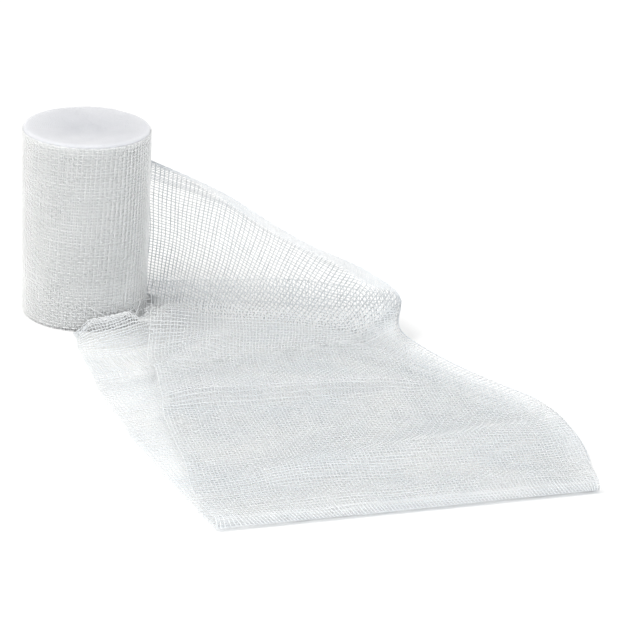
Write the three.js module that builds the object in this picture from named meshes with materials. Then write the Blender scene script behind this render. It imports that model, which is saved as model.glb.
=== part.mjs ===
// Gauze bandage roll with a loose end.
//
// Open cotton gauze is folded lengthwise and wound into a roll that stands on its end. The loose
// end leaves the back right of the roll, stands up beside it as a low wall, and comes forward
// over the surface as a wide lower ply. At the front it folds over on itself, and the upper ply
// runs back to the cut end, which stands up in front of the wall.
//
// Millimetres, +Z up. The origin is the centre of the roll's flat base. +X runs along the wall,
// and -Y runs forward to the fold.

import * as THREE from 'three';

// The wound roll
const ROLL_HEIGHT = 60;
const ROLL_RADIUS = 19.0;
const ROLL_SIDES = 56;
const WRAP_STEP = 0.8;
const WRAP_ANGLE = THREE.MathUtils.degToRad(62);
const WRAP_EDGE = THREE.MathUtils.degToRad(9);
const RIM_ROUNDING = 1.3;
const BASE_ROUNDING = 1.0;
const TOP_FLARE = 0.35;
const TOP_DISH = 0.9;

// The loose end: the heights are those of the middle of a ply
const CLOTH_THICKNESS = 1.0;
const LOWER_PLY = 0.5;
const UPPER_PLY = 2.1;
const FOLD_HEIGHT = 3.6;
const FOLD_ROWS = 4;
const LOWER_ROWS = 38;
const UPPER_ROWS = 30;
const CLOTH_COLUMNS = 26;
const WALL_SAG = 0.05;

// How the lower ply settles from the foot of the wall to the surface, and how its hump and the
// soft ridges ease out at their ends: shares of the stretch concerned
const FOOT_SHARE = 0.4;
const HUMP_SHARE = 0.3;
const RIDGE_OVERRUN = 0.12;
const RIDGE_SHARE = 0.3;

// How far along over, and how far down it, the middle of the rolled edge lies
const ROLLED_ALONG = 0.55;
const ROLLED_DOWN = 0.35;

// A table's rows as objects with the column names as keys
function table(names, rows) {
  const columns = names.split(' ');
  return rows.map((row) => Object.fromEntries(columns.map((name, i) => [name, row[i]])));
}

// Crosswise lines of the lower ply, from the roll to the front fold. The ridge is the top of
// the wall, and over is the way from it to the edge of the cloth, which rolls back over it. The
// foot is where the wall meets the surface, hump the height of the cloth between the foot and
// the inner edge, and wrap how closely that stretch bends round the roll.
const LOWER_LINES = table(
  'ridgeX ridgeY ridgeZ overX overY overZ footX footY footZ hump innerX innerY wrap',
  [
    [10.3, 17.9, 45.6, 0.1, 0.2, 1.4, 10.6, 18.1, 1.4, 2.6, -1.5, -20.7, 1.0],
    [24.0, 14.5, 41.6, 0.2, 1.2, 0.6, 22.0, 11.0, 1.2, 4.0, -0.3, -25.0, 1.0],
    [34.6, 11.5, 37.8, 0.6, 3.2, 0.2, 29.5, 3.0, 0.8, 4.6, 0.6, -30.5, 1.0],
    [43.6, 8.5, 33.6, 0.8, 5.4, 0.2, 36.5, -2.0, 0.5, 1.2, 1.9, -36.0, 0.9],
    [54.8, 4.2, 28.0, 0.8, 5.8, 0.4, 44.5, -4.0, 0.5, 0.5, 3.6, -42.0, 0.7],
    [67.0, -1.5, 23.9, 0.6, 6.0, -0.3, 54.5, -5.0, 0.5, 0.5, 5.0, -47.0, 0.5],
    [77.7, -3.9, 20.0, 0.6, 6.0, 0.0, 65.5, -6.5, 0.5, 0.5, 6.0, -50.5, 0.35],
    [87.1, -9.8, 15.9, 0.8, 10.0, 0.2, 76.5, -9.5, 0.5, 0.5, 7.4, -55.0, 0.22],
    [96.3, -12.6, 13.3, 0.6, 1.2, 0.2, 85.0, -13.5, 0.5, 0.5, 9.0, -60.0, 0.1],
    [96.3, -17.5, 4.0, 1.2, 0.4, 0.5, 86.0, -22.0, 0.5, 0.5, 11.3, -68.0, 0.0],
    [109.3, -37.5, 4.0, 1.2, 0.4, 0.4, 99.0, -40.0, 0.5, 0.5, 17.5, -84.5, 0.0],
    [126.2, -54.0, 3.5, 1.2, 0.4, 0.3, 115.0, -57.0, 0.5, 0.5, 22.0, -97.0, 0.0],
    [139.0, -66.5, 2.5, 1.2, 0.4, 0.3, 127.0, -70.0, 0.5, 0.5, 26.6, -106.0, 0.0],
    [148.0, -89.0, 1.2, 1.2, 0.4, 0.1, 136.0, -93.0, 0.5, 0.5, 33.6, -124.5, 0.0],
    [150.3, -117.6, 0.5, 1.0, 0.3, 0.0, 140.0, -121.1, 0.5, 0.5, 47.9, -152.6, 0.0],
  ],
);

// Where the lower ply's columns lie between the points of a crosswise line near the roll: the
// ridge is the third point and the foot the seventh
const WALL_COLUMNS = [
  0, 1, 2, 2.5, 3, 3.5, 4, 4.5, 5, 5.5, 6, 6.3,
  6.6, 6.9, 7.2, 7.5, 7.8, 8.1, 8.4, 8.7, 9.05, 9.4, 9.8, 10.2, 10.6, 11,
];

// The lines between which the columns ease over to an even spacing
const LAST_WALL_LINE = 8;
const FIRST_EVEN_LINE = 12;

// Crosswise lines of the upper ply, from the front fold back to the cut end. Bow is how far the
// middle of a line lies behind its ends, and the two shares say over how much of the width the
// right and left edges rise or fall to the middle height.
const UPPER_LINES = table(
  'rightX rightY rightZ leftX leftY leftZ middleZ bow rightShare leftShare',
  [
    [151.3, -117.3, 3.6, 47.9, -152.6, 3.6, 3.6, 0.0, 0.085, 0.20],
    [150.9, -112.5, 3.4, 45.8, -147.0, 2.8, 2.9, 0.0, 0.085, 0.20],
    [149.6, -104.0, 3.0, 42.0, -137.0, 2.1, 2.1, 0.0, 0.085, 0.20],
    [147.8, -92.8, 3.2, 39.3, -126.0, 2.1, 2.1, 0.0, 0.085, 0.20],
    [144.3, -81.5, 4.0, 37.0, -113.0, 2.1, 2.1, 0.0, 0.085, 0.20],
    [139.3, -71.5, 5.0, 34.3, -101.0, 2.1, 2.1, 0.0, 0.085, 0.20],
    [132.0, -65.8, 6.0, 31.8, -91.0, 2.1, 2.1, 0.0, 0.085, 0.20],
    [117.9, -52.1, 6.5, 28.8, -77.0, 2.1, 2.2, 0.0, 0.085, 0.20],
    [102.0, -36.2, 6.5, 26.0, -60.0, 2.4, 2.6, 0.0, 0.085, 0.20],
    [96.9, -26.4, 6.8, 23.2, -43.0, 2.4, 2.8, 1.0, 0.12, 0.20],
    [96.9, -22.5, 8.5, 22.4, -30.0, 4.6, 3.8, 2.5, 0.22, 0.25],
    [96.6, -19.5, 10.5, 21.6, -18.0, 7.2, 5.2, 4.0, 0.33, 0.25],
    [96.2, -17.5, 12.4, 21.2, -8.0, 6.6, 6.8, 5.0, 0.40, 0.40],
    [95.9, -15.8, 15.2, 20.8, -5.5, 12.6, 15.6, 5.0, 0.20, 0.70],
  ],
);

// Soft ridges of the upper ply: a crest line seen from above, its height, and how far it
// slopes away in front of and behind the line
const RIDGES = table(
  'startX startY endX endY height front behind',
  [
    [24.0, -74.0, 104.0, -54.0, 3.4, 3.2, 13.0],
    [56.0, -124.0, 140.0, -80.0, 2.4, 10.0, 6.0],
    [24.0, -62.0, 46.0, -24.0, 2.4, 4.0, 6.0],
    [62.0, -141.0, 146.0, -111.0, 0.9, 4.0, 4.0],
  ],
);

const cotton = new THREE.MeshStandardMaterial({ color: 0xf1f2f2, roughness: 0.95, metalness: 0 });

// Smooth step from 0 to 1
function ease(x) {
  return THREE.MathUtils.smoothstep(x, 0, 1);
}

// Catmull-Rom curve through points, whose two end tangents point along the first and last chord
function throughPoints(points, position) {
  const last = points.length - 1;
  const index = Math.min(Math.floor(position), last - 1);
  const before = points[index - 1] ?? points[0].clone().multiplyScalar(2).sub(points[1]);
  const after = points[index + 2] ?? points[last].clone().multiplyScalar(2).sub(points[last - 1]);
  const [start, end] = [points[index], points[index + 1]];
  const u = position - index;
  const weights = [
    -u + 2 * u * u - u * u * u,
    2 - 5 * u * u + 3 * u * u * u,
    u + 4 * u * u - 3 * u * u * u,
    -u * u + u * u * u,
  ];
  return new THREE.Vector3()
    .addScaledVector(before, weights[0] / 2)
    .addScaledVector(start, weights[1] / 2)
    .addScaledVector(end, weights[2] / 2)
    .addScaledVector(after, weights[3] / 2);
}

// Positions along a curve, given as a function, that are even in length
function evenPositions(curve, last, count) {
  const steps = 24 * last;
  const lengths = [0];
  let previous = curve(0);
  for (let i = 1; i <= steps; i += 1) {
    const point = curve((i * last) / steps);
    lengths.push(lengths[i - 1] + point.distanceTo(previous));
    previous = point;
  }
  const positions = [];
  let i = 0;
  for (let k = 0; k < count; k += 1) {
    const wanted = (lengths[steps] * k) / (count - 1);
    while (i < steps - 1 && lengths[i + 1] < wanted) i += 1;
    const part = (wanted - lengths[i]) / (lengths[i + 1] - lengths[i]);
    positions.push(((i + part) * last) / steps);
  }
  return positions;
}

// A crosswise line of the lower ply, from the edge behind the ridge to the inner edge
function lowerLine(line, order) {
  const ridge = new THREE.Vector3(line.ridgeX, line.ridgeY, line.ridgeZ);
  const over = new THREE.Vector3(line.overX, line.overY, line.overZ);
  const foot = new THREE.Vector3(line.footX, line.footY, line.footZ);
  const halfway = over.clone().multiply(new THREE.Vector3(ROLLED_ALONG, ROLLED_ALONG, ROLLED_DOWN));
  const points = [ridge.clone().add(over), ridge.clone().add(halfway), ridge];
  for (const k of [0.15, 0.5, 0.85]) {
    const point = ridge.clone().lerp(foot, k);
    point.z -= WALL_SAG * (ridge.z - foot.z) * Math.sin(Math.PI * k);
    points.push(point);
  }
  points.push(foot);
  const footAngle = Math.atan2(foot.y, foot.x);
  const innerAngle = Math.atan2(line.innerY, line.innerX);
  const footReach = Math.hypot(foot.x, foot.y);
  const innerReach = Math.hypot(line.innerX, line.innerY);
  for (const k of [0.2, 0.4, 0.6, 0.8, 1]) {
    const angle = THREE.MathUtils.lerp(footAngle, innerAngle, k);
    const reach = THREE.MathUtils.lerp(footReach, innerReach, k);
    const straightX = THREE.MathUtils.lerp(foot.x, line.innerX, k);
    const straightY = THREE.MathUtils.lerp(foot.y, line.innerY, k);
    const fromFoot = (foot.z - LOWER_PLY) * (1 - ease(k / FOOT_SHARE));
    const humpEase = ease(k / HUMP_SHARE) * ease((1 - k) / HUMP_SHARE);
    const fromHump = (line.hump - LOWER_PLY) * humpEase;
    points.push(new THREE.Vector3(
      THREE.MathUtils.lerp(straightX, reach * Math.cos(angle), line.wrap),
      THREE.MathUtils.lerp(straightY, reach * Math.sin(angle), line.wrap),
      LOWER_PLY + fromFoot + fromHump,
    ));
  }
  const curve = (position) => throughPoints(points, position);
  const even = evenPositions(curve, points.length - 1, CLOTH_COLUMNS);
  const evenness = ease((order - LAST_WALL_LINE) / (FIRST_EVEN_LINE - LAST_WALL_LINE));
  return WALL_COLUMNS.map((column, j) => curve(THREE.MathUtils.lerp(column, even[j], evenness)));
}

// A crosswise line of the upper ply, lifted at its two edges
function upperLine(line) {
  const points = [];
  for (let j = 0; j < CLOTH_COLUMNS; j += 1) {
    const k = j / (CLOTH_COLUMNS - 1);
    const fromRight = (line.rightZ - line.middleZ) * (1 - ease(k / line.rightShare));
    const fromLeft = (line.leftZ - line.middleZ) * (1 - ease((1 - k) / line.leftShare));
    points.push(new THREE.Vector3(
      THREE.MathUtils.lerp(line.rightX, line.leftX, k),
      THREE.MathUtils.lerp(line.rightY, line.leftY, k) + 4 * line.bow * k * (1 - k),
      line.middleZ + fromRight + fromLeft,
    ));
  }
  return points;
}

// Rows of a ply between its crosswise lines, even in length along one guide column
function rowsBetween(lines, count, guide) {
  const column = (j) => (position) => throughPoints(lines.map((line) => line[j]), position);
  const positions = evenPositions(column(guide), lines.length - 1, count);
  return positions.map((position) => lines[0].map((_, j) => column(j)(position)));
}

// The height that the soft ridges add at a place
function ridgeHeight({ x, y }) {
  let height = 0;
  for (const ridge of RIDGES) {
    const run = new THREE.Vector2(ridge.endX - ridge.startX, ridge.endY - ridge.startY);
    const length = run.length();
    run.normalize();
    const along = ((x - ridge.startX) * run.x + (y - ridge.startY) * run.y) / length;
    const away = (y - ridge.startY) * run.x - (x - ridge.startX) * run.y;
    const width = away > 0 ? ridge.behind : ridge.front;
    const fromStart = ease((along + RIDGE_OVERRUN) / RIDGE_SHARE);
    const fromEnd = ease((1 + RIDGE_OVERRUN - along) / RIDGE_SHARE);
    height += ridge.height * Math.exp(-((away / width) ** 2)) * fromStart * fromEnd;
  }
  return height;
}

// The middle surface of the whole loose end, row by row: lower ply, fold, upper ply
function looseEndRows() {
  const lower = rowsBetween(LOWER_LINES.map(lowerLine), LOWER_ROWS, Math.floor(CLOTH_COLUMNS / 4));
  for (const point of lower.flat()) {
    point.z = Math.max(point.z, LOWER_PLY);
  }
  const upper = rowsBetween(UPPER_LINES.map(upperLine), UPPER_ROWS, CLOTH_COLUMNS / 2);
  for (const point of upper.flat()) {
    point.z = Math.max(point.z + ridgeHeight(point), UPPER_PLY);
  }
  const under = lower.at(-1);
  const over = upper[0];
  const across = over.at(-1).clone().sub(over[0]).normalize();
  const forward = new THREE.Vector3(-across.y, across.x, 0);
  const radius = (FOLD_HEIGHT - LOWER_PLY) / 2;
  const fold = [];
  for (let i = 1; i <= FOLD_ROWS; i += 1) {
    const angle = Math.PI * (i / (FOLD_ROWS + 1) - 0.5);
    fold.push(under.map((point, j) => {
      const middle = point.clone().lerp(over[j], 0.5 + 0.5 * Math.sin(angle));
      return middle.addScaledVector(forward, radius * Math.cos(angle));
    }));
  }
  return [...lower, ...fold, ...upper];
}

// Unit normals of a grid of points, from the differences between neighbours
function gridNormals(rows) {
  return rows.map((row, i) => row.map((_, j) => {
    const ahead = rows[Math.min(i + 1, rows.length - 1)][j];
    const behind = rows[Math.max(i - 1, 0)][j];
    const right = row[Math.min(j + 1, row.length - 1)];
    const left = row[Math.max(j - 1, 0)];
    const lengthwise = ahead.clone().sub(behind);
    return lengthwise.cross(right.clone().sub(left)).normalize();
  }));
}

// A closed mesh from vertices and faces
function closedMesh(name, vertices, faces) {
  const geometry = new THREE.BufferGeometry();
  const positions = vertices.flatMap((vertex) => vertex.toArray());
  geometry.setAttribute('position', new THREE.Float32BufferAttribute(positions, 3));
  geometry.setIndex(faces);
  geometry.computeVertexNormals();
  const mesh = new THREE.Mesh(geometry, cotton.clone());
  mesh.name = name;
  return mesh;
}

// The loose end: its middle surface, made solid by half the thickness to each side
function looseEnd() {
  const rows = looseEndRows();
  const normals = gridNormals(rows);
  const half = CLOTH_THICKNESS / 2;
  const skin = (side) => rows.flatMap((row, i) => row.map(
    (point, j) => point.clone().addScaledVector(normals[i][j], side * half),
  ));
  const vertices = [...skin(1), ...skin(-1)];
  const columns = CLOTH_COLUMNS;
  const back = rows.length * columns;
  const at = (i, j) => i * columns + j;
  const faces = [];
  const quad = (a, b, c, d) => faces.push(a, b, c, a, c, d);
  for (let i = 0; i + 1 < rows.length; i += 1) {
    for (let j = 0; j + 1 < columns; j += 1) {
      const [a, b, c, d] = [at(i, j), at(i + 1, j), at(i + 1, j + 1), at(i, j + 1)];
      quad(a, b, c, d);
      quad(back + a, back + d, back + c, back + b);
    }
    quad(at(i, 0), back + at(i, 0), back + at(i + 1, 0), at(i + 1, 0));
    const end = columns - 1;
    quad(at(i + 1, end), back + at(i + 1, end), back + at(i, end), at(i, end));
  }
  const lastRow = rows.length - 1;
  for (let j = 0; j + 1 < columns; j += 1) {
    quad(at(0, j + 1), back + at(0, j + 1), back + at(0, j), at(0, j));
    quad(at(lastRow, j), back + at(lastRow, j), back + at(lastRow, j + 1), at(lastRow, j + 1));
  }
  return closedMesh('loose_end', vertices, faces);
}

// Radius of the roll's side at an angle: it grows by one wrap on the way round to the place
// where the loose end leaves
function wrapRadius(angle) {
  const turn = 2 * Math.PI;
  const past = (((angle - WRAP_ANGLE) % turn) + turn) % turn;
  const rise = Math.min(1, past / WRAP_EDGE);
  return ROLL_RADIUS + WRAP_STEP * ease(rise) * (1 - past / turn);
}

// Profile of the roll from the middle of its base to the middle of its top: inset is how far
// a point lies inside the side, and share how far out it lies on an end
function rollProfile() {
  const rings = [];
  const corner = (rounding, height, from, to) => {
    for (let i = 0; i <= 3; i += 1) {
      const angle = THREE.MathUtils.lerp(from, to, i / 3);
      const inset = rounding * (1 - Math.cos(angle));
      rings.push({ inset, share: 1, z: height + rounding * Math.sin(angle) });
    }
  };
  rings.push({ inset: BASE_ROUNDING, share: 0.5, z: 0 });
  corner(BASE_ROUNDING, BASE_ROUNDING, -Math.PI / 2, 0);
  for (const part of [0.25, 0.5, 0.75]) {
    rings.push({ inset: 0, share: 1, z: ROLL_HEIGHT * part });
  }
  corner(RIM_ROUNDING, ROLL_HEIGHT - RIM_ROUNDING, 0, Math.PI / 2);
  for (const share of [0.85, 0.65, 0.4, 0.2]) {
    const z = ROLL_HEIGHT - TOP_DISH * (1 - ease(share));
    rings.push({ inset: RIM_ROUNDING, share, z });
  }
  return rings;
}

// The wound roll as one solid
function roll() {
  const rings = rollProfile();
  const vertices = [new THREE.Vector3(0, 0, 0)];
  for (const ring of rings) {
    for (let k = 0; k < ROLL_SIDES; k += 1) {
      const angle = (2 * Math.PI * k) / ROLL_SIDES;
      const flare = TOP_FLARE * ease(ring.z / ROLL_HEIGHT);
      const reach = (wrapRadius(angle) + flare - ring.inset) * ring.share;
      vertices.push(new THREE.Vector3(reach * Math.cos(angle), reach * Math.sin(angle), ring.z));
    }
  }
  vertices.push(new THREE.Vector3(0, 0, ROLL_HEIGHT - TOP_DISH));
  const faces = [];
  for (let k = 0; k < ROLL_SIDES; k += 1) {
    const next = (k + 1) % ROLL_SIDES;
    faces.push(0, 1 + next, 1 + k);
    for (let i = 0; i + 1 < rings.length; i += 1) {
      const low = 1 + i * ROLL_SIDES;
      const high = low + ROLL_SIDES;
      faces.push(low + k, low + next, high + next, low + k, high + next, high + k);
    }
    const topRing = 1 + (rings.length - 1) * ROLL_SIDES;
    faces.push(topRing + k, topRing + next, vertices.length - 1);
  }
  return closedMesh('roll', vertices, faces);
}

const group = new THREE.Group();
group.add(roll(), looseEnd());

export default group;
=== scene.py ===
# Gauze bandage roll with a wide loose end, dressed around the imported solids. Every yarn of the
# open weave is a thin closed tube. Lengths are in millimetres and turned to metres in a mesh.
import math
import bpy
import numpy as np
from mathutils import Matrix


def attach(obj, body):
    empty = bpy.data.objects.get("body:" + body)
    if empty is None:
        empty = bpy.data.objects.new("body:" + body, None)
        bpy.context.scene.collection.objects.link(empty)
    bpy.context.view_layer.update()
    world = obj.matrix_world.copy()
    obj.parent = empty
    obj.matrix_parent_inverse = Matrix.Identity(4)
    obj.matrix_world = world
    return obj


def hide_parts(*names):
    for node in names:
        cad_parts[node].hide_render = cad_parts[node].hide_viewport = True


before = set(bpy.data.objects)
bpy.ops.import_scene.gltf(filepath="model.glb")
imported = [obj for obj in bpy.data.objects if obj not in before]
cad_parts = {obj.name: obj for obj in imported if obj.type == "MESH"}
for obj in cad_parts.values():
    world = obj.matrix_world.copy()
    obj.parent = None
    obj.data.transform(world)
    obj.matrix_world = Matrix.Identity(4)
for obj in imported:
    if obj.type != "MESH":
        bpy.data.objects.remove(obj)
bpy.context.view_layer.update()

METRES = 0.001


# The view: a long lens from the front, a little above the table, with the camera turned slightly
# about its own axis.
CAMERA_AT = (70.8, -866.6, 345.5)
CAMERA_PITCH = math.radians(21.60)
CAMERA_ROLL = math.radians(2.61)
FOCAL_PIXELS, FRAME_PIXELS, SENSOR = 3000.0, 625.0, 36.0
NEAR_M, FAR_M = 0.01, 50


def turned_camera():
    """Camera looking along +Y, pitched down, then rolled: its right axis is cos r X + sin r U, its
    up axis -sin r X + cos r U, where U is the upward axis of the pitched camera."""
    right, up = np.array([1.0, 0, 0]), np.array([0, math.sin(CAMERA_PITCH), math.cos(CAMERA_PITCH)])
    c, s = math.cos(CAMERA_ROLL), math.sin(CAMERA_ROLL)
    x, y = c * right + s * up, -s * right + c * up
    z = np.cross(x, y)
    data = bpy.data.cameras.new("camera")
    data.sensor_width = SENSOR
    data.lens = FOCAL_PIXELS * SENSOR / FRAME_PIXELS
    data.clip_start, data.clip_end = NEAR_M, FAR_M
    camera = bpy.data.objects.new("camera", data)
    at = [v * METRES for v in CAMERA_AT]
    rows = [[x[i], y[i], z[i], at[i]] for i in range(3)] + [[0, 0, 0, 1]]
    camera.matrix_world = Matrix(rows)
    return camera


camera = turned_camera()
bpy.context.scene.collection.objects.link(camera)
bpy.context.scene.camera = camera


# Shader maths for every material below: a wrapped socket takes part in sums and products, and
# one method adds any other node.
class Value:
    """A shader socket that takes part in sums, differences, products, quotients and powers."""

    def __init__(self, shader, socket):
        self.shader, self.socket = shader, socket

    def maths(self, operation, first, second):
        """A maths node on two values or numbers."""
        return self.shader.node("ShaderNodeMath", {"operation": operation}, [first, second])

    def __add__(self, other):
        return self.maths("ADD", self, other)

    def __sub__(self, other):
        return self.maths("SUBTRACT", self, other)

    def __rsub__(self, other):
        return self.maths("SUBTRACT", other, self)

    def __mul__(self, other):
        return self.maths("MULTIPLY", self, other)

    def __truediv__(self, other):
        return self.maths("DIVIDE", self, other)

    def __pow__(self, other):
        return self.maths("POWER", self, other)

    def wave(self):
        """Sine of the value, from 0 to 1."""
        return self.maths("SINE", self, 0) * 0.5 + 0.5

    def clamped(self):
        """The value, held between 0 and 1."""
        return self.shader.node("ShaderNodeClamp", {}, {"Value": self})


class Shader:
    """A material whose Principled shader takes constants by socket name."""

    def __init__(self, name, **constants):
        self.material = bpy.data.materials.new(name)
        self.material.use_nodes = True
        self.tree = self.material.node_tree
        self.principled = self.tree.nodes["Principled BSDF"]
        for socket, value in constants.items():
            self.principled.inputs[socket.replace("_", " ")].default_value = value

    def connect(self, socket, value):
        """Links a wrapped socket to an input, or writes a constant there."""
        if isinstance(value, Value):
            self.tree.links.new(value.socket, socket)
        else:
            socket.default_value = value

    def node(self, kind, settings, sockets=(), output=0):
        """Adds a node, sets its settings and then its sockets, by name or by order."""
        made = self.tree.nodes.new(kind)
        for name, value in settings.items():
            setattr(made, name, value)
        given = sockets.items() if isinstance(sockets, dict) else enumerate(sockets)
        for name, value in given:
            self.connect(made.inputs[name], value)
        return Value(self, made.outputs[output])

    def axes(self, vector):
        """The three parts of a vector."""
        split = self.node("ShaderNodeSeparateXYZ", {}, [vector])
        return [Value(self, split.socket.node.outputs[axis]) for axis in "XYZ"]

    def noise(self, scale, detail=2.0):
        """Soft noise about 0.5 in the object's own coordinates, with its scale in waves a metre."""
        where = self.node("ShaderNodeTexCoord", {}, output="Object")
        sockets = {"Vector": where, "Scale": scale, "Detail": detail}
        return self.node("ShaderNodeTexNoise", {}, sockets)

    def blend(self, factor, first, second):
        """The first colour where the factor is 0, the second where it is 1."""
        made = self.tree.nodes.new("ShaderNodeMix")
        made.data_type = "RGBA"
        self.connect(made.inputs["Factor"], factor)
        for name, colour in (("A", first), ("B", second)):
            socket = next(s for s in made.inputs if s.name == name and s.type == "RGBA")
            self.connect(socket, colour if isinstance(colour, Value) else (*colour, 1.0))
        return Value(self, next(s for s in made.outputs if s.type == "RGBA"))

    def set(self, socket, value):
        """Sets one of the Principled shader's own sockets."""
        self.connect(self.principled.inputs[socket], value)

    def bump(self, height, depth_m, strength):
        """Tilts the surface's normal by a height from 0 to 1 that stands for a depth in metres."""
        sockets = {"Height": height, "Distance": depth_m, "Strength": strength}
        self.set("Normal", self.node("ShaderNodeBump", {}, sockets))


# The cotton yarns: loosely spun, matt and slightly translucent, each a 3-sided tube that goes
# over one crossing yarn and under the next. The loose end, the roll and the stray threads are
# all made of them.
WARP_RADIUS, WEFT_RADIUS = 0.14, 0.185
WARP_CRIMP, WEFT_CRIMP = 0.13, 0.13
TWIST_LENGTH = 0.9
TONE_SCALE, TONE_CONTRAST = 60.0, 2.2
FIBRE_SCALE, BUMP_DEPTH_M, BUMP_STRENGTH = 6000.0, 0.00006, 0.6
TWIST_BUMP, FIBRE_BUMP = 0.7, 0.5
# The painted shade on standing cloth starts below this level and grows by this gain; the gauze
# yarn's colours and the factor of that painted shade follow.
LYING_LEVEL, STANDING_SHADE_GAIN = 0.96, 2.2
GAUZE_DARK, GAUZE_LIGHT, GAUZE_SHADE_FACTOR = (0.795, 0.835, 0.872), (0.905, 0.927, 0.948), 0.70


def cotton_yarn(name, dark, light, shade_factor=1.0):
    """Yarn whose tone drifts between two colours, with a fine bump of its twist and fibres. Where
    the cloth stands up, the yarn's colour is darkened by the given factor, a painted shade: the
    map named level holds how level the cloth is, from 0 to 1."""
    shader = Shader(name, Roughness=0.92, Sheen_Weight=0.15, Sheen_Roughness=0.6,
                    Subsurface_Weight=1.0, Subsurface_Radius=(1, 1, 1), Subsurface_Scale=0.0003)
    turn, length, _ = shader.axes(shader.node("ShaderNodeUVMap", {"uv_map": "yarn"}))
    twist = ((turn + length / TWIST_LENGTH) * (2 * math.pi)).wave()
    patches = ((shader.noise(TONE_SCALE, 3.0) - 0.5) * TONE_CONTRAST + 0.5).clamped()
    lying = shader.blend(patches, dark, light)
    level = shader.axes(shader.node("ShaderNodeUVMap", {"uv_map": "level"}))[0]
    # Painted shade: the colour is darkened by the factor where the cloth stands up, more the further
    # it is from level.
    standing_shade_mask = ((LYING_LEVEL - level) * STANDING_SHADE_GAIN).clamped()
    shaded_tones = [tuple(part * shade_factor for part in tone) for tone in (dark, light)]
    shader.set("Base Color", shader.blend(standing_shade_mask, lying, shader.blend(patches, *shaded_tones)))
    height = twist * TWIST_BUMP + shader.noise(FIBRE_SCALE, 1.0) * FIBRE_BUMP
    shader.bump(height, BUMP_DEPTH_M, BUMP_STRENGTH)
    return shader.material


gauze_yarn = cotton_yarn("gauze_yarn", GAUZE_DARK, GAUZE_LIGHT, GAUZE_SHADE_FACTOR)


def ease(x):
    """Smooth step from 0 to 1: three times the square less twice the cube."""
    x = np.clip(x, 0, 1)
    return x * x * (3 - 2 * x)


def smooth_noise(rng, yarns, points, spacing, wavelength):
    """Random values from -1 to 1 along each yarn, eased between knots one wavelength apart."""
    knots = rng.uniform(-1, 1, (yarns, int(points * spacing / wavelength) + 3))
    at = np.arange(points) * spacing / wavelength + rng.uniform(0, 1, (yarns, 1))
    i = at.astype(int)
    u = ease(at - i)
    rows = np.arange(yarns)[:, None]
    return knots[rows, i] * (1 - u) + knots[rows, i + 1] * u


def unit(vectors):
    """The vectors divided by their lengths."""
    return vectors / np.maximum(np.linalg.norm(vectors, axis=-1, keepdims=True), 1e-9)


def tube_arrays(points, normals, kept, radius, level):
    """Rings of three points round every kept point of every yarn: the point, plus the radius
    times the cosine of the turn to the yarn's side and its sine away from the cloth. Faces join
    each ring to the next, and one triangle closes each end. The maps' columns are the turn, the
    length along the yarn, and how level the cloth is."""
    yarns, count = kept.shape
    ahead, behind = np.roll(points, -1, 1), np.roll(points, 1, 1)
    next_kept, last_kept = np.roll(kept, -1, 1), np.roll(kept, 1, 1)
    next_kept[:, -1] = False
    last_kept[:, 0] = False
    ahead = np.where(next_kept[..., None], ahead, points)
    behind = np.where(last_kept[..., None], behind, points)
    along = unit(ahead - behind)
    side = unit(np.cross(along, normals))
    up = np.cross(side, along)
    turn = np.radians([90, 210, 330])
    ring = (
        points[:, :, None]
        + radius[:, :, None, None] * np.cos(turn)[:, None] * side[:, :, None]
        + radius[:, :, None, None] * np.sin(turn)[:, None] * up[:, :, None]
    )
    number = np.arange(yarns * count * 3).reshape(yarns, count, 3)
    joined = kept[:, :-1] & kept[:, 1:]
    low, high = number[:, :-1][joined], number[:, 1:][joined]
    quads = np.stack([low, np.roll(low, -1, 1), np.roll(high, -1, 1), high], axis=2).reshape(-1, 4)
    starts = number[kept & ~last_kept & next_kept][:, ::-1]
    ends = number[kept & ~next_kept & last_kept]
    step = np.linalg.norm(np.diff(points, axis=1, prepend=points[:, :1]), axis=2)
    length = np.cumsum(np.where(kept & last_kept, step, 0), axis=1)
    maps = np.stack([np.broadcast_to(turn / (2 * np.pi), ring.shape[:3]),
                     np.broadcast_to(length[..., None], ring.shape[:3]),
                     np.broadcast_to(level[..., None], ring.shape[:3])], axis=3)
    return ring.reshape(-1, 3), quads, np.concatenate([starts, ends]), maps.reshape(-1, 3)


def yarn_piece(name, families, material=gauze_yarn):
    """One mesh from families of yarns, each (points, normals, kept, radius, how level the cloth
    is)."""
    points, quads, triangles, maps, shift = [], [], [], [], 0
    for family in families:
        ring, quad, triangle, columns = tube_arrays(*family)
        points.append(ring)
        quads.append(quad + shift)
        triangles.append(triangle + shift)
        maps.append(columns)
        shift += len(ring)
    return mesh_piece(name, np.concatenate(points), np.concatenate(quads),
                      np.concatenate(triangles), np.concatenate(maps), material)


def mesh_piece(name, points, quads, triangles, maps, material):
    """A smooth-shaded object from numpy arrays, in millimetres, without the points that no face
    uses. The maps' first two columns become the map named yarn, and the third the one named
    level."""
    corners = np.concatenate([quads.ravel(), triangles.ravel()]).astype(np.int32)
    used, corners = np.unique(corners, return_inverse=True)
    sizes = np.concatenate([np.full(len(quads), 4), np.full(len(triangles), 3)]).astype(np.int32)
    mesh = bpy.data.meshes.new(name)
    mesh.vertices.add(len(used))
    mesh.vertices.foreach_set("co", (points[used] * METRES).astype(np.float32).ravel())
    mesh.loops.add(len(corners))
    mesh.loops.foreach_set("vertex_index", corners.astype(np.int32))
    mesh.polygons.add(len(sizes))
    starts = np.concatenate([[0], np.cumsum(sizes)[:-1]]).astype(np.int32)
    mesh.polygons.foreach_set("loop_start", starts)
    mesh.polygons.foreach_set("use_smooth", np.ones(len(sizes), bool))
    mesh.update(calc_edges=True)
    for layer_name, columns in (("yarn", [0, 1]), ("level", [2, 2])):
        layer = mesh.uv_layers.new(name=layer_name)
        layer.data.foreach_set("uv", maps[used][corners][:, columns].astype(np.float32).ravel())
    mesh.materials.append(material)
    piece = bpy.data.objects.new(name, mesh)
    bpy.context.scene.collection.objects.link(piece)
    return piece


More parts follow.
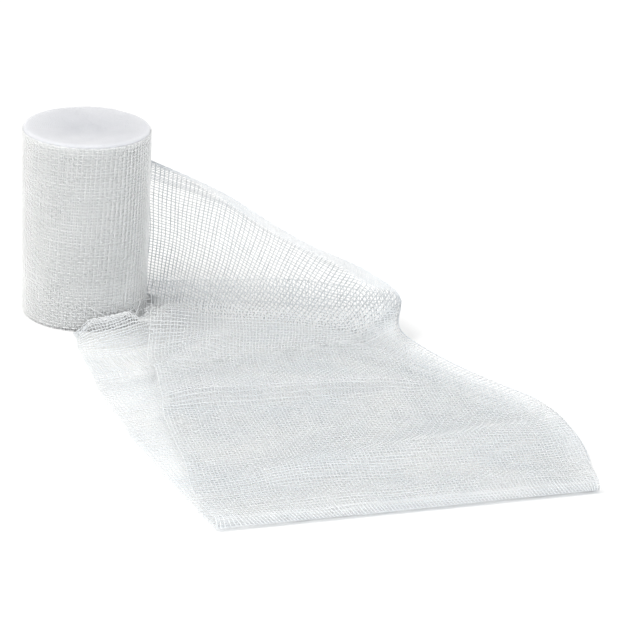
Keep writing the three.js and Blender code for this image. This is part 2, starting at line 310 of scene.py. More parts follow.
def through(points, at):
    """Catmull-Rom curve through points along their first axis, at positions counted in points."""
    ends = 2 * points[:1] - points[1:2], 2 * points[-1:] - points[-2:-1]
    held = np.concatenate([ends[0], points, ends[1]])
    at = np.asarray(at, float)
    i = np.clip(at.astype(int), 0, len(points) - 2)
    u = (at - i).reshape(at.shape + (1,) * (points.ndim - 1))
    a, b, c, d = held[i], held[i + 1], held[i + 2], held[i + 3]
    square, cube = 2 * a - 5 * b + 4 * c - d, 3 * b - a - 3 * c + d
    return 0.5 * (2 * b + (c - a) * u + square * u**2 + cube * u**3)


def lengths(points):
    """Running length along the first axis."""
    step = np.linalg.norm(np.diff(points, axis=0), axis=-1)
    return np.concatenate([[0], np.cumsum(step)])


STEPS_BETWEEN_POINTS = 24


def even_positions(points, count):
    """Positions on the curve through points that are even in length, measured in fine steps."""
    fine = np.linspace(0, len(points) - 1, STEPS_BETWEEN_POINTS * (len(points) - 1) + 1)
    length = lengths(through(points, fine))
    return np.interp(np.linspace(0, length[-1], count), length, fine)


def grid_normals(grid):
    """Unit normals of a grid of points, from the differences between neighbours."""
    return unit(np.cross(np.gradient(grid, axis=0), np.gradient(grid, axis=1)))


def field_noise(rng, shape, cells):
    """Random values from -1 to 1 over a grid, eased between knots that are some cells apart."""
    knots = rng.uniform(-1, 1, (shape[0] // cells[0] + 3, shape[1] // cells[1] + 3))
    rows, columns = np.arange(shape[0]) / cells[0], np.arange(shape[1]) / cells[1]
    i, j = rows.astype(int)[:, None], columns.astype(int)[None]
    u, v = ease(rows % 1)[:, None], ease(columns % 1)[None]
    near = knots[i, j] * (1 - v) + knots[i, j + 1] * v
    far = knots[i + 1, j] * (1 - v) + knots[i + 1, j + 1] * v
    return near * (1 - u) + far * u


CROSSING_PITCH = 1.2
WARP_WAVE, WEFT_WAVE, THICKNESS_WAVE = 11.0, 14.0, 6.0
WEFT_WANDER, DRIFT_CELLS = 1.6, (11, 13)
WARP_UNEVENNESS, WEFT_UNEVENNESS = 0.16, 0.22


def woven(grid, kept, rng, wander=0.12, drift=0.6, thinning=0.0, warp_gain=1.0, crimp=1.0,
          weft_kept=None, fold=0.0):
    """The two families of yarns of a plain weave on a grid of crossings, whose rows are wefts and
    whose columns are warps. Each yarn is lifted to one side of the cloth at one crossing and to
    the other at the next, drifts with its neighbours, wanders a little on its own, and is thicker
    here and thinner there. A mask of its own can leave wefts out where they would crowd. Round
    a fold, from 0 to 1, the warps are drawn tight to the outside, and there they count as level so
    that the painted shade of standing cloth leaves them bright: a painted highlight."""
    rows, columns = grid.shape[:2]
    normals = grid_normals(grid)
    checks = np.where((np.arange(rows)[:, None] + np.arange(columns)) % 2, 1.0, -1.0)[..., None]
    lengthwise = unit(np.gradient(grid, axis=0))
    crosswise = unit(np.gradient(grid, axis=1))
    warp_wander = smooth_noise(rng, columns, rows, CROSSING_PITCH, WARP_WAVE).T[..., None] * wander
    weft_wander = smooth_noise(rng, rows, columns, CROSSING_PITCH, WEFT_WAVE)[..., None] * wander
    sideways, forward = [
        field_noise(rng, (rows, columns), DRIFT_CELLS)[..., None] * drift for _ in range(2)
    ]
    crossings = grid + crosswise * (warp_wander + sideways)
    crossings = crossings + lengthwise * (weft_wander * WEFT_WANDER + forward)
    lift = normals * (checks * (1 - fold) - fold)
    warps = crossings + lift * WARP_CRIMP
    wefts = crossings - lift * WEFT_CRIMP * crimp
    warp_swell = WARP_UNEVENNESS * smooth_noise(rng, columns, rows, CROSSING_PITCH, THICKNESS_WAVE)
    weft_swell = WEFT_UNEVENNESS * smooth_noise(rng, rows, columns, CROSSING_PITCH, THICKNESS_WAVE)
    warp_radius = WARP_RADIUS * (1 + warp_swell) * warp_gain
    weft_radius = WEFT_RADIUS * (1 + weft_swell) * (1 - thinning)
    level = np.abs(normals[..., 2:])
    # Painted highlight: round the fold the warps count as level, so the painted shade darkens only
    # the wefts there.
    warp_level_lit_at_fold = np.maximum(level, fold)[..., 0].T
    return [
        (warps.transpose(1, 0, 2), normals.transpose(1, 0, 2), kept.T, warp_radius, warp_level_lit_at_fold),
        (wefts, normals, kept if weft_kept is None else weft_kept, weft_radius, level[..., 0]),
    ]


# The lower ply of the loose end: it leaves the back right of the roll, stands beside it as a wall
# whose top rolls over, and comes forward flat on the surface. It is open cotton gauze, cut from
# the same length as the roll.
LOWER_HEIGHT = 0.5
LOWER_LINES = np.array([
    # ridge x, y, z      over x, y, z      foot x, y, z      hump  inner x, y     wrap
    [10.3, 17.9, 45.6, 0.1, 0.2, 1.4, 10.6, 18.1, 1.4, 2.6, -1.5, -20.7, 1.0],
    [24.0, 14.5, 41.6, 0.2, 1.2, 0.6, 22.0, 11.0, 1.2, 4.0, -0.3, -25.0, 1.0],
    [34.6, 11.5, 37.8, 0.6, 3.2, 0.2, 29.5, 3.0, 0.8, 4.6, 0.6, -30.5, 1.0],
    [43.6, 8.5, 33.6, 0.8, 5.4, 0.2, 36.5, -2.0, 0.5, 1.2, 1.9, -36.0, 0.9],
    [54.8, 4.2, 28.0, 0.8, 5.8, 0.4, 44.5, -4.0, 0.5, 0.5, 3.6, -42.0, 0.7],
    [67.0, -1.5, 23.9, 0.6, 6.0, -0.3, 54.5, -5.0, 0.5, 0.5, 5.0, -47.0, 0.5],
    [77.7, -3.9, 20.0, 0.6, 6.0, 0.0, 65.5, -6.5, 0.5, 0.5, 6.0, -50.5, 0.35],
    [87.1, -9.8, 15.9, 0.8, 10.0, 0.2, 76.5, -9.5, 0.5, 0.5, 7.4, -55.0, 0.22],
    [96.3, -12.6, 13.3, 0.6, 1.2, 0.2, 85.0, -13.5, 0.5, 0.5, 9.0, -60.0, 0.1],
    [96.3, -17.5, 4.0, 1.2, 0.4, 0.5, 86.0, -22.0, 0.5, 0.5, 11.3, -68.0, 0.0],
    [109.3, -37.5, 4.0, 1.2, 0.4, 0.4, 99.0, -40.0, 0.5, 0.5, 17.5, -84.5, 0.0],
    [126.2, -54.0, 3.5, 1.2, 0.4, 0.3, 115.0, -57.0, 0.5, 0.5, 22.0, -97.0, 0.0],
    [139.0, -66.5, 2.5, 1.2, 0.4, 0.3, 127.0, -70.0, 0.5, 0.5, 26.6, -106.0, 0.0],
    [148.0, -89.0, 1.2, 1.2, 0.4, 0.1, 136.0, -93.0, 0.5, 0.5, 33.6, -124.5, 0.0],
    [150.3, -117.6, 0.5, 1.0, 0.3, 0.0, 140.0, -121.1, 0.5, 0.5, 47.9, -152.6, 0.0],
])
# Of a line's columns, 12% lie on the rolled top edge, 28% on the wall and the rest on the surface.
LINE_COLUMNS, RIDGE_COLUMN = 141, 16
PART_SHARES, PART_POINTS = [0, 0.12, 0.4, 1], [0, 2, 6, 11]
WALL_COLUMNS = np.interp(np.linspace(0, 1, LINE_COLUMNS), PART_SHARES, PART_POINTS)
LAST_WALL_LINE, FIRST_EVEN_LINE = 8, 12
ROLLED_MIDDLE = (0.55, 0.55, 0.35)
WALL_SHARES, WALL_SAG = np.array([0.15, 0.5, 0.85]), 0.05
LYING_SHARES = np.array([0.2, 0.4, 0.6, 0.8, 1.0])
FOOT_EASE, HUMP_EASE = 0.4, 0.3
LOWER_SEED, WARPS, LOWER_WEFTS, LOWER_STEPS = 11, 110, 150, 700
FOLD_SHIFT, FOLD_TAPER, FOLD_REACH = 3.0, 7.0, 14.0
EDGE_WARPS, EDGE_WARPS_FADE, EDGE_CLOSENESS = 16, 4, 0.45
EDGE_WEFTS, EDGE_WEFTS_FADE = 60, 40
INNER_SELVEDGE, OUTER_SELVEDGE = 1.2, 1.9
CROWDED = 0.85
LINE_OVERRUN, RIDGE_FADE = 0.12, 0.3
FOOT_RIDGES = [
    # start x, y      end x, y    height  front  behind
    (1.0, -22.0, 17.0, -16.5, 3.6, 4.5, 6.0),
]


def lower_line(line, order):
    """A crosswise curve from the edge behind the ridge, over the ridge, down the wall, and over
    the surface to the inner edge. There the path is a blend of a straight one and one that bends
    round the roll, by the line's share of wrap."""
    ridge, over, foot = line[0:3], line[3:6], line[6:9]
    hump, inner, wrap = line[9], line[10:12], line[12]
    wall = ridge + (foot - ridge) * WALL_SHARES[:, None]
    wall[:, 2] -= WALL_SAG * (ridge[2] - foot[2]) * np.sin(np.pi * WALL_SHARES)
    foot_angle, inner_angle = math.atan2(foot[1], foot[0]), math.atan2(inner[1], inner[0])
    foot_reach, inner_reach = math.hypot(*foot[:2]), math.hypot(*inner)
    angle = foot_angle + (inner_angle - foot_angle) * LYING_SHARES
    reach = foot_reach + (inner_reach - foot_reach) * LYING_SHARES
    bent = np.stack([reach * np.cos(angle), reach * np.sin(angle)], axis=1)
    straight = foot[:2] + (inner - foot[:2]) * LYING_SHARES[:, None]
    lying = np.empty((len(LYING_SHARES), 3))
    lying[:, :2] = straight * (1 - wrap) + bent * wrap
    lying[:, 2] = LOWER_HEIGHT + (foot[2] - LOWER_HEIGHT) * (1 - ease(LYING_SHARES / FOOT_EASE))
    humped = ease(LYING_SHARES / HUMP_EASE) * ease((1 - LYING_SHARES) / HUMP_EASE)
    lying[:, 2] += (hump - LOWER_HEIGHT) * humped
    rolled = [ridge + over, ridge + over * ROLLED_MIDDLE, ridge]
    points = np.concatenate([rolled, wall, [foot], lying])
    even = even_positions(points, LINE_COLUMNS)
    evenness = ease((order - LAST_WALL_LINE) / (FIRST_EVEN_LINE - LAST_WALL_LINE))
    return through(points, WALL_COLUMNS + (even - WALL_COLUMNS) * evenness)


def beside_line(x, y, line, fade):
    """How far places are behind a line from one point to another, and a weight that is 1 along
    the line and eases out round its ends, over a share of its length."""
    x0, y0, x1, y1 = line
    length = math.hypot(x1 - x0, y1 - y0)
    along = ((x - x0) * (x1 - x0) + (y - y0) * (y1 - y0)) / length**2
    away = ((y - y0) * (x1 - x0) - (x - x0) * (y1 - y0)) / length
    weight = ease((along + LINE_OVERRUN) / fade) * ease((1 + LINE_OVERRUN - along) / fade)
    return away, weight


def ridge_height(x, y, ridges):
    """Sum of soft ridges: each falls off from its crest line as a bell curve, with one width in
    front and one behind, and eases out at its two ends."""
    height = np.zeros_like(x)
    for *line, crest, front, behind in ridges:
        away, weight = beside_line(x, y, line, RIDGE_FADE)
        width = np.where(away > 0, behind, front)
        height += crest * np.exp(-((away / width) ** 2)) * weight
    return height


def lower_crossings():
    """Crossings of the lower ply. Wefts are even along the top of the wall, and warps along each
    weft, but closer near the outer edge beside the roll. Near the fold they are drawn sideways."""
    lines = np.array([lower_line(line, i) for i, line in enumerate(LOWER_LINES)])
    fine = np.linspace(0, len(lines) - 1, LOWER_STEPS)
    length = lengths(through(lines[:, RIDGE_COLUMN], fine))
    at = np.interp(np.linspace(0, length[-1], LOWER_WEFTS), length, fine)
    curves = through(lines, at)
    curves[..., 2] += ridge_height(curves[..., 0], curves[..., 1], FOOT_RIDGES)
    curves[..., 2] = np.maximum(curves[..., 2], LOWER_HEIGHT)
    grid = np.empty((LOWER_WEFTS, WARPS, 3))
    edge = ease((np.arange(WARPS - 1) - (WARPS - 1 - EDGE_WARPS)) / EDGE_WARPS_FADE)
    for row, curve in enumerate(curves):
        run = lengths(curve)
        beside_roll = 1 - ease((row - EDGE_WEFTS) / EDGE_WEFTS_FADE)
        spacing = 1 - EDGE_CLOSENESS * edge * beside_roll
        share = 1 - np.concatenate([[0], np.cumsum(spacing)]) / spacing.sum()
        for axis in range(3):
            grid[row, :, axis] = np.interp(share * run[-1], run, curve[:, axis])
    across = grid[-1, -1] - grid[-1, 0]
    across /= np.linalg.norm(across)
    warp = np.arange(WARPS)
    taper = ease(warp / FOLD_TAPER) * ease((WARPS - 1 - warp) / FOLD_TAPER)
    near_fold = ease((np.arange(LOWER_WEFTS) - LOWER_WEFTS) / FOLD_REACH + 1)
    return grid + across * (FOLD_SHIFT * near_fold[:, None] * taper)[..., None]


def selvedge(first, last):
    """How much thicker each warp is: only those along the two woven edges are."""
    gain = np.ones((WARPS, 1))
    gain[0], gain[-1] = first, last
    return gain


def uncrowded(grid):
    """Every weft where the wefts are far enough apart, else every second or fourth, so that the
    cloth gathered round the foot of the roll stays open."""
    gap = np.linalg.norm(np.gradient(grid, axis=0), axis=2)
    row = np.arange(len(grid))[:, None]
    return (gap > CROWDED) | ((gap > CROWDED / 2) & (row % 2 == 0)) | (row % 4 == 0)


lower_grid = lower_crossings()
lower_kept = np.ones(lower_grid.shape[:2], bool)
lower_ply = yarn_piece("lower_ply", woven(
    lower_grid, lower_kept, np.random.default_rng(LOWER_SEED),
    warp_gain=selvedge(INNER_SELVEDGE, OUTER_SELVEDGE), weft_kept=uncrowded(lower_grid)))
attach(lower_ply, "root")
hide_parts("loose_end")


# The upper ply, of the same open cotton: at the front the gauze folds over on itself and runs back
# on top of the lower ply to its cut end, which stands up in front of the wall.
UPPER_HEIGHT, HEM_HEIGHT = 2.1, 3.6
UPPER_LINES = np.array([
    # right x, y, z       left x, y, z        middle z, bow, right and left share
    [151.3, -117.3, 3.6, 47.9, -152.6, 3.6, 3.6, 0.0, 0.085, 0.20],
    [150.9, -112.5, 3.4, 45.8, -147.0, 2.8, 2.9, 0.0, 0.085, 0.20],
    [149.6, -104.0, 3.0, 42.0, -137.0, 2.1, 2.1, 0.0, 0.085, 0.20],
    [147.8, -92.8, 3.2, 39.3, -126.0, 2.1, 2.1, 0.0, 0.085, 0.20],
    [144.3, -81.5, 4.0, 37.0, -113.0, 2.1, 2.1, 0.0, 0.085, 0.20],
    [139.3, -71.5, 5.0, 34.3, -101.0, 2.1, 2.1, 0.0, 0.085, 0.20],
    [132.0, -65.8, 6.0, 31.8, -91.0, 2.1, 2.1, 0.0, 0.085, 0.20],
    [117.9, -52.1, 6.5, 28.8, -77.0, 2.1, 2.2, 0.0, 0.085, 0.20],
    [102.0, -36.2, 6.5, 26.0, -60.0, 2.4, 2.6, 0.0, 0.085, 0.20],
    [96.9, -26.4, 6.8, 23.2, -43.0, 2.4, 2.8, 1.0, 0.12, 0.20],
    [96.9, -22.5, 8.5, 22.4, -30.0, 4.6, 3.8, 2.5, 0.22, 0.25],
    [96.6, -19.5, 10.5, 21.6, -18.0, 7.2, 5.2, 4.0, 0.33, 0.25],
    [96.2, -17.5, 12.4, 21.2, -8.0, 6.6, 6.8, 5.0, 0.40, 0.40],
    [95.9, -15.8, 15.2, 20.8, -5.5, 12.6, 15.6, 5.0, 0.20, 0.70],
])
RIDGES = [
    # start x, y      end x, y    height  front  behind
    (24.0, -74.0, 104.0, -54.0, 3.0, 2.8, 13.0),
    (56.0, -124.0, 140.0, -80.0, 2.4, 10.0, 6.0),
    (24.0, -62.0, 46.0, -24.0, 2.4, 4.0, 6.0),
    (62.0, -141.0, 146.0, -111.0, 0.9, 4.0, 4.0),
]
STANDING_WEFTS, STANDING_THINNING = 10, 0.45
FOLD_WEFTS, FOLD_FADE, FOLD_THINNING = 6, 3, 0.15
SPREADS = [
    # start x, y      end x, y    widening  core  reach
    (27.0, -80.5, 84.0, -62.5, 2.2, 2.5, 8.0),
    (62.0, -141.0, 146.0, -111.0, 0.5, 0.8, 6.0),
    (26.0, -52.0, 84.0, -24.0, -1.6, 0.8, 9.0),
    (82.0, -36.0, 106.0, -50.0, 1.6, 1.6, 6.0),
]
SPREAD_FADE = 0.2
UPPER_SEED, UPPER_WEFTS, UPPER_STEPS = 12, 100, 500
UPPER_SELVEDGE = 1.2
WARP_PITCH = 1.0


def spread(grid):
    """Pushes the wefts apart along lines where the cloth is stretched open, or together where the
    widening is negative: those behind a line move back and those in front of it forward, less
    and less with distance."""
    lengthwise = unit(np.gradient(grid, axis=0)[..., :2])
    for *line, widening, core, reach in SPREADS:
        away, weight = beside_line(grid[..., 0], grid[..., 1], line, SPREAD_FADE)
        shift = widening * away / (core + np.abs(away)) * np.exp(-np.abs(away) / reach) * weight
        grid[..., :2] += lengthwise * shift[..., None]
    return grid


def upper_crossings():
    """Crossings of the upper ply, whose warps keep their distance from the left edge, and which
    of them lie inside the right edge. A weft is straight but for its height, which eases from
    each edge's to that of the middle, and a bow: four times the share, times one less the share."""
    fine = np.linspace(0, len(UPPER_LINES) - 1, UPPER_STEPS)
    table = through(UPPER_LINES, fine)
    length = lengths((table[:, 0:3] + table[:, 3:6]) / 2)
    lines = through(UPPER_LINES, np.interp(np.linspace(0, length[-1], UPPER_WEFTS), length, fine))
    right, left = lines[:, None, 0:3], lines[:, None, 3:6]
    middle_z, bow, right_share, left_share = np.moveaxis(lines[:, None, 6:], 2, 0)
    width = np.linalg.norm((right - left)[..., :2], axis=2)
    pitch = np.maximum(WARP_PITCH, width / (WARPS - 1))
    share = np.arange(WARPS) * pitch / width
    kept = share <= 1 + 1e-6
    share = np.minimum(share, 1.0)
    grid = left + (right - left) * share[..., None]
    right_rise = (right[..., 2] - middle_z) * (1 - ease((1 - share) / right_share))
    left_rise = (left[..., 2] - middle_z) * (1 - ease(share / left_share))
    grid[..., 2] = middle_z + right_rise + left_rise
    grid[..., 1] += bow * 4 * share * (1 - share)
    grid = spread(grid)
    grid[..., 2] += ridge_height(grid[..., 0], grid[..., 1], RIDGES)
    grid[..., 2] = np.maximum(grid[..., 2], UPPER_HEIGHT)
    return grid, kept


def fold_crossings(under, over):
    """Wefts on a half circle round the front, bulging forward from the lower to the upper hem."""
    across = over[-1] - over[0]
    forward = np.array([across[1], -across[0], 0]) / np.linalg.norm(across[:2])
    radius = (HEM_HEIGHT - LOWER_HEIGHT) / 2
    angle = np.pi * (np.arange(1, FOLD_WEFTS + 1) / (FOLD_WEFTS + 1) - 0.5)[:, None, None]
    return under + (over - under) * (0.5 + 0.5 * np.sin(angle)) + forward * radius * np.cos(angle)


upper_grid, upper_kept = upper_crossings()
fold_grid = fold_crossings(lower_grid[-1], upper_grid[0])
whole_grid = np.concatenate([lower_grid[-1:], fold_grid, upper_grid])
whole_kept = np.concatenate([np.ones((1 + FOLD_WEFTS, WARPS), bool), upper_kept])
weft = np.arange(len(whole_grid))
standing = ease((weft - len(whole_grid)) / STANDING_WEFTS + 1)
folding = ease((FOLD_WEFTS + 1 + FOLD_FADE - weft) / FOLD_FADE)
upper_ply = yarn_piece("upper_ply", woven(
    whole_grid, whole_kept, np.random.default_rng(UPPER_SEED),
    thinning=(STANDING_THINNING * standing + FOLD_THINNING * folding)[:, None],
    warp_gain=selvedge(UPPER_SELVEDGE, UPPER_SELVEDGE), fold=folding[:, None, None]))
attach(upper_ply, "root")
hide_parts("loose_end")


# Loose threads of the same cotton: the warps that stick out past the cut end, pulled wefts at its
# left corner, and the frayed corner of the lower ply at the foot of the roll.
STRAY_SEED, STRAY_POINTS = 14, 8
STRAY_NORMAL, STRAY_TAPER, STRAY_LOWEST = (0.0, -0.4, 0.9), 0.4, 0.3
TWIST_SHARE, TWIST_HALF_WAVES = 0.6, 1.5
CUT_REACH, CUT_CURL = (0.5, 1.8), 0.22
# The pulled wefts, counted back from the cut end, and how many threads stand for each
PULLED_FIRST, PULLED_LAST, PULLED_COPIES, PULLED_THICKNESS = 14, 2, 3, 0.8
PULLED_WAY, PULLED_REACH, PULLED_CURL = (-0.95, -0.1, -0.12), (1.0, 2.2), 0.2
FRAYED_COUNT, FRAYED_REACH, FRAYED_CURL = 46, (2.0, 5.0), 0.5
FRAYED_DEGREES, FRAYED_AWAY, FRAYED_HEIGHT = (-78, -28), (20.6, 23.5), (2.6, 5.6)
# The way a frayed thread points: mean and spread of x and of y, and the range of z
FRAYED_X, FRAYED_Y, FRAYED_Z = (0.25, 0.6), (-0.1, 0.5), (0.15, 0.9)


def strays(starts, ways, reach, curl, rng, radius):
    """Curved yarns from their starts: with t from 0 to 1 along a yarn, its path is its way times
    t, plus a random bend times t squared and a random twist times t and a sine of t."""
    t = np.linspace(0, 1, STRAY_POINTS)[None, :, None]
    bend = rng.normal(0, curl, (len(starts), 1, 3))
    twist = rng.normal(0, curl * TWIST_SHARE, (len(starts), 1, 3))
    path = ways[:, None] * t + bend * t**2 + twist * np.sin(np.pi * t * TWIST_HALF_WAVES) * t
    line = starts[:, None] + path * reach[:, None, None]
    line[..., 2] = np.maximum(line[..., 2], STRAY_LOWEST)
    every = np.ones(line.shape[:2])
    normals = np.broadcast_to(STRAY_NORMAL, line.shape)
    return line, normals, every > 0, radius * (1 - STRAY_TAPER * t[..., 0]) * every, every


def cut_ends(rng):
    """The ends of the warps, going on past the last weft."""
    warps = np.flatnonzero(whole_kept[-1])
    outward = unit((whole_grid[-1] - whole_grid[-2])[warps])
    reach = rng.uniform(*CUT_REACH, len(warps))
    return strays(whole_grid[-1][warps], outward, reach, CUT_CURL, rng, WARP_RADIUS)


def pulled_wefts(rng):
    """Threads pulled out to the left of the last wefts, several at each."""
    wefts = np.arange(len(whole_grid) - PULLED_FIRST, len(whole_grid) - PULLED_LAST)
    wefts = np.repeat(wefts, PULLED_COPIES)
    ways = np.tile(PULLED_WAY, (len(wefts), 1))
    reach = rng.uniform(*PULLED_REACH, len(wefts))
    thin = PULLED_THICKNESS * WEFT_RADIUS
    return strays(whole_grid[wefts, 0], ways, reach, PULLED_CURL, rng, thin)


def frayed_corner(rng):
    """Short threads on the hump round the front of the roll's foot, pointing any way but down."""
    angle = np.radians(rng.uniform(*FRAYED_DEGREES, FRAYED_COUNT))
    away = rng.uniform(*FRAYED_AWAY, FRAYED_COUNT)
    height = rng.uniform(*FRAYED_HEIGHT, FRAYED_COUNT)
    starts = np.stack([away * np.cos(angle), away * np.sin(angle), height], axis=1)
    x, y = rng.normal(*FRAYED_X, FRAYED_COUNT), rng.normal(*FRAYED_Y, FRAYED_COUNT)
    ways = np.stack([x, y, rng.uniform(*FRAYED_Z, FRAYED_COUNT)], axis=1)
    reach = rng.uniform(*FRAYED_REACH, FRAYED_COUNT)
    return strays(starts, ways, reach, FRAYED_CURL, rng, WARP_RADIUS)


stray_rng = np.random.default_rng(STRAY_SEED)
stray_families = [make(stray_rng) for make in (cut_ends, pulled_wefts, frayed_corner)]
stray_threads = yarn_piece("stray_threads", stray_families)
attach(stray_threads, "root")
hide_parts("loose_end")


# The roll's outer turns: the same gauze wound on itself, standing on its end. Three turns of woven
# yarns lie one inside another, and each shows through the gaps of the one over it.
ROLL_HEIGHT, ROLL_RADIUS = 60.0, 19.0
WRAP_STEP, WRAP_ANGLE, WRAP_EDGE = 0.8, math.radians(62), math.radians(9)
RIM_ROUNDING, BASE_ROUNDING, TOP_FLARE = 1.0, 1.0, 0.35
ROLL_SEED, ROLL_WARPS, ROLL_WEFTS = 13, 61, 83
LOWEST_WARP = 0.25
TURN_DEPTHS = (0.2, 0.36, 0.5)
FIRST_PHASE, PHASE_STEP = 0.02, 0.4
TURN_LEAN, TURN_WAVER, WAVER_LENGTH = 0.2, 0.012, 17.0
# The roll's yarn is the same cotton as the loose end's, painted lighter: painted light for the
# brightness of the densely wound layers.
WOUND_BRIGHTENED_DARK, WOUND_BRIGHTENED_LIGHT = (0.90, 0.915, 0.915), (0.94, 0.95, 0.95)


def wrap_radius(angle):
    """The side's radius steps out by one turn of cloth where the loose end leaves, and falls back
    evenly on the way round."""
    past = np.mod(angle - WRAP_ANGLE, 2 * np.pi)
    return ROLL_RADIUS + WRAP_STEP * ease(past / WRAP_EDGE) * (1 - past / (2 * np.pi))


def base_inset(z):
    """How far the rounded base draws the side in: a quarter circle below the rounding's height."""
    below = np.clip((BASE_ROUNDING - z) / BASE_ROUNDING, 0, 1)
    return BASE_ROUNDING * (1 - np.sqrt(1 - below**2))


def side_radius(angle, z):
    """Radius of the side: the wrap's, flaring a little towards the top and drawn in at the base."""
    return wrap_radius(angle) + TOP_FLARE * ease(z / ROLL_HEIGHT) - base_inset(z)


def turn_crossings(depth, phase):
    """Crossings on one turn, at a depth under the side: warps run round, and wefts stand upright
    with a slight lean that grows with height and a waver that is a sine of it."""
    z = np.linspace(LOWEST_WARP, ROLL_HEIGHT - RIM_ROUNDING, ROLL_WARPS)
    angle = np.linspace(0, 2 * np.pi, ROLL_WEFTS + 1)[:, None] + phase
    reach = side_radius(angle, z) - depth
    lean = TURN_WAVER * np.sin(z / WAVER_LENGTH + phase) + TURN_LEAN * (z / ROLL_HEIGHT - 0.5)
    return np.stack([reach * np.cos(angle + lean), reach * np.sin(angle + lean),
                     np.broadcast_to(z, reach.shape)], axis=2)


roll_rng = np.random.default_rng(ROLL_SEED)
turns = []
for number, depth in enumerate(TURN_DEPTHS):
    turn_grid = turn_crossings(depth, FIRST_PHASE + PHASE_STEP * number)
    turns += woven(turn_grid, np.ones(turn_grid.shape[:2], bool), roll_rng, wander=0.06, drift=0.12,
                   thinning=0.14, warp_gain=1.15, crimp=1.55)
# The roll's yarn, in the lighter painted colours.
roll_turns = yarn_piece("roll_turns", turns, cotton_yarn("wound_yarn_brightened", WOUND_BRIGHTENED_DARK, WOUND_BRIGHTENED_LIGHT))
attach(roll_turns, "root")
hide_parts("roll")


# The rest of the roll: cotton gauze wound too tight to see its threads one by one. It is one body
# under the outer turns, and the edges of its turns are the fine rings on the dished top.
CORE_DEPTH, RIM_DEPTH, TOP_DISH = 0.62, 0.25, 0.9
TURN_PITCH, GROOVE_DEPTH, GROOVE_FADE = 0.62, 0.07, 0.08
CORE_COLUMNS, SIDE_RINGS, RIM_RINGS, TOP_RINGS = 240, 20, 9, 90
BASE_SHARES, LAST_TOP_SHARE = (0.02, 0.5, 0.9), 0.015
LOWEST_RING, RIM_GAP, RIM_START_DEGREES = 0.3, 1.2, -40
# Colours of the wound body: bright on the side, and on the top a painted shade that is greyer
# towards the middle.
SIDE_COTTON, TOP_OUTER_SHADE, TOP_MIDDLE_SHADE = (0.90, 0.915, 0.92), (0.60, 0.607, 0.637), (0.46, 0.47, 0.505)
TOP_BAND, TOP_SHARPNESS, SHADED_REACH = 1.2, 3.0, 1.05
BROAD_PATCHES, FINE_PATCHES = (90.0, 2.0), (260.0, 4.0)
BROAD_SHADE, FINE_SHADE = 0.8, 0.3
FUZZ_SCALE, FUZZ_DEPTH_M, FUZZ_STRENGTH = 1500.0, 0.0003, 0.7


def wound_core():
    """The body under the outer turns: a profile from the middle of the base, up the side, round
    the rim and in over the top, carried round. The top dips as a smooth step towards its middle,
    and a cosine of the count of turns wound so far draws the edge of each turn."""
    columns = np.linspace(0, 2 * np.pi, CORE_COLUMNS + 1)[:-1]
    side = wrap_radius(columns)
    profile = [(side - CORE_DEPTH - BASE_ROUNDING) * share for share in BASE_SHARES]
    heights = [0 * columns for _ in BASE_SHARES]
    for z in np.linspace(LOWEST_RING, ROLL_HEIGHT - RIM_ROUNDING - RIM_GAP, SIDE_RINGS):
        profile.append(side_radius(columns, z) - CORE_DEPTH)
        heights.append(0 * columns + z)
    for angle in np.radians(np.linspace(RIM_START_DEGREES, 90, RIM_RINGS)):
        profile.append(side + TOP_FLARE - RIM_DEPTH - RIM_ROUNDING * (1 - math.cos(angle)))
        heights.append(0 * columns + ROLL_HEIGHT - RIM_ROUNDING * (1 - math.sin(angle)))
    edge = profile[-1]
    for share in np.linspace(1, LAST_TOP_SHARE, TOP_RINGS)[1:]:
        reach = edge * share
        turn = reach / TURN_PITCH - columns / (2 * np.pi)
        grooves = GROOVE_DEPTH * np.cos(2 * np.pi * turn) * ease((1 - share) / GROOVE_FADE)
        profile.append(reach)
        heights.append(ROLL_HEIGHT - TOP_DISH * (1 - ease(share)) + grooves)
    reach, z = np.array(profile), np.array(heights)
    points = np.stack([reach * np.cos(columns), reach * np.sin(columns), z], axis=2).reshape(-1, 3)
    number = np.arange(reach.size).reshape(reach.shape)
    low, high = number[:-1], number[1:]
    quads = np.stack([low, np.roll(low, -1, 1), np.roll(high, -1, 1), high], axis=2).reshape(-1, 4)
    base, top = len(points), len(points) + 1
    first, last = number[0], number[-1]
    fans = np.concatenate([
        np.stack([np.roll(first, -1), first, np.full_like(first, base)], axis=1),
        np.stack([last, np.roll(last, -1), np.full_like(last, top)], axis=1)])
    points = np.concatenate([points, [[0, 0, 0], [0, 0, ROLL_HEIGHT - TOP_DISH]]])
    angle = np.arctan2(points[:, 1], points[:, 0])
    maps = np.stack([angle / (2 * np.pi), points[:, 2], 0 * angle], axis=1)
    return points, quads, fans, maps


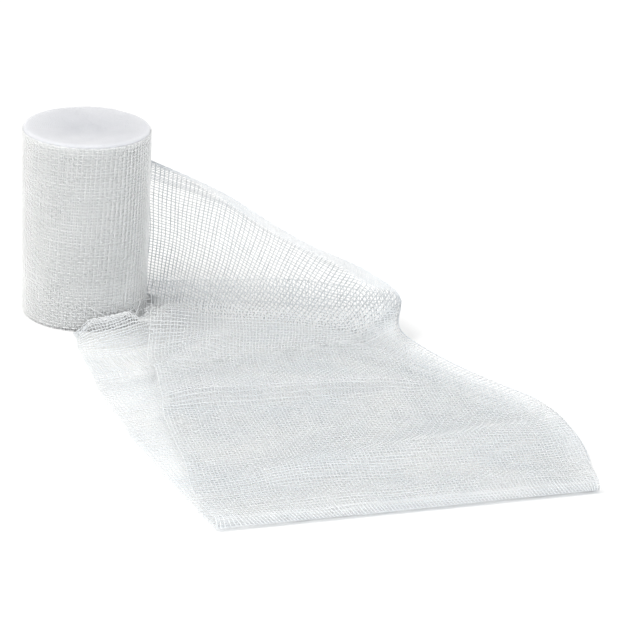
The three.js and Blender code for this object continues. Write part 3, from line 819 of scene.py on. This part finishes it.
def wound_cotton():
    """Bright on the side under the yarns; on the top a painted shade, greyer and most so towards
    its middle, with soft patches in that painted shade."""
    shader = Shader("wound_cotton", Roughness=0.95, Sheen_Weight=0.1, Sheen_Roughness=0.6,
                    Subsurface_Weight=1.0, Subsurface_Radius=(1, 1, 1), Subsurface_Scale=0.003)
    x, y, z = shader.axes(shader.node("ShaderNodeTexCoord", {}, output="Object"))
    reach = (x * x + y * y) ** 0.5 * (1000 / ROLL_RADIUS)
    broad = (shader.noise(*BROAD_PATCHES) - 0.5) * BROAD_SHADE
    fine = (shader.noise(*FINE_PATCHES) - 0.5) * FINE_SHADE
    # Painted shade on the top: darker towards its middle, with blotchy edges from the patches.
    inward_shade_mask = (SHADED_REACH - reach + (broad + fine)).clamped()
    top = shader.blend(inward_shade_mask, TOP_OUTER_SHADE, TOP_MIDDLE_SHADE)
    top_shade_mask = ((z * 1000 - (ROLL_HEIGHT - TOP_BAND)) * TOP_SHARPNESS).clamped()
    shader.set("Base Color", shader.blend(top_shade_mask, SIDE_COTTON, top))
    shader.bump(shader.noise(FUZZ_SCALE, 3.0), FUZZ_DEPTH_M, FUZZ_STRENGTH)
    return shader.material


roll_core = mesh_piece("roll_core", *wound_core(), wound_cotton())
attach(roll_core, "root")
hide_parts("roll")


# The studio: a plain white table and soft light, strongest from the left. Sizes and places here
# are in metres.
TABLE_HALF, TABLE_DARK, TABLE_LIGHT = 4.0, (0.93, 0.93, 0.93), (0.95, 0.95, 0.95)
WARM, COOL = (1.0, 0.985, 0.95), (0.95, 0.98, 1.0)
SKY_STRENGTH = 0.88


def table_top():
    """A level white square with its middle under the roll."""
    mesh = bpy.data.meshes.new("table")
    half = TABLE_HALF
    corners = [(-half, -half, 0), (half, -half, 0), (half, half, 0), (-half, half, 0)]
    mesh.from_pydata(corners, [], [(0, 1, 2, 3)])
    shader = Shader("table_white", Roughness=0.8)
    shader.set("Base Color", shader.blend(shader.noise(3.0), TABLE_DARK, TABLE_LIGHT))
    mesh.materials.append(shader.material)
    piece = bpy.data.objects.new("table", mesh)
    bpy.context.scene.collection.objects.link(piece)
    return piece


def soft_light(name, at, target, size, watts, tint):
    """A square area light whose -Z axis points at a target."""
    data = bpy.data.lights.new(name, "AREA")
    data.shape, data.size, data.energy = "SQUARE", size, watts
    data.color = tint
    lamp = bpy.data.objects.new(name, data)
    back = np.array(at, float) - np.array(target, float)
    back /= np.linalg.norm(back)
    side = np.cross((0, 0, 1), back)
    side /= np.linalg.norm(side)
    up = np.cross(back, side)
    rows = [[side[i], up[i], back[i], at[i]] for i in range(3)] + [[0, 0, 0, 1]]
    lamp.matrix_world = Matrix(rows)
    bpy.context.scene.collection.objects.link(lamp)


table_top()
soft_light("key", at=(-0.6, -0.35, 1.15), target=(0.03, -0.03, 0.02), size=0.6, watts=7.3, tint=WARM)
soft_light("fill", at=(0.45, -1.6, 0.40), target=(0.0, 0.0, 0.03), size=1.4, watts=4.6, tint=COOL)
soft_light("low_fill", at=(0.20, -0.75, 0.12), target=(0.02, -0.01, 0.01), size=0.3, watts=1.1,
           tint=COOL)
world = bpy.data.worlds.new("studio")
world.use_nodes = True
world.node_tree.nodes["Background"].inputs["Color"].default_value = (1, 1, 1, 1)
world.node_tree.nodes["Background"].inputs["Strength"].default_value = SKY_STRENGTH
bpy.context.scene.world = world
bpy.context.scene.view_settings.view_transform = "Standard"
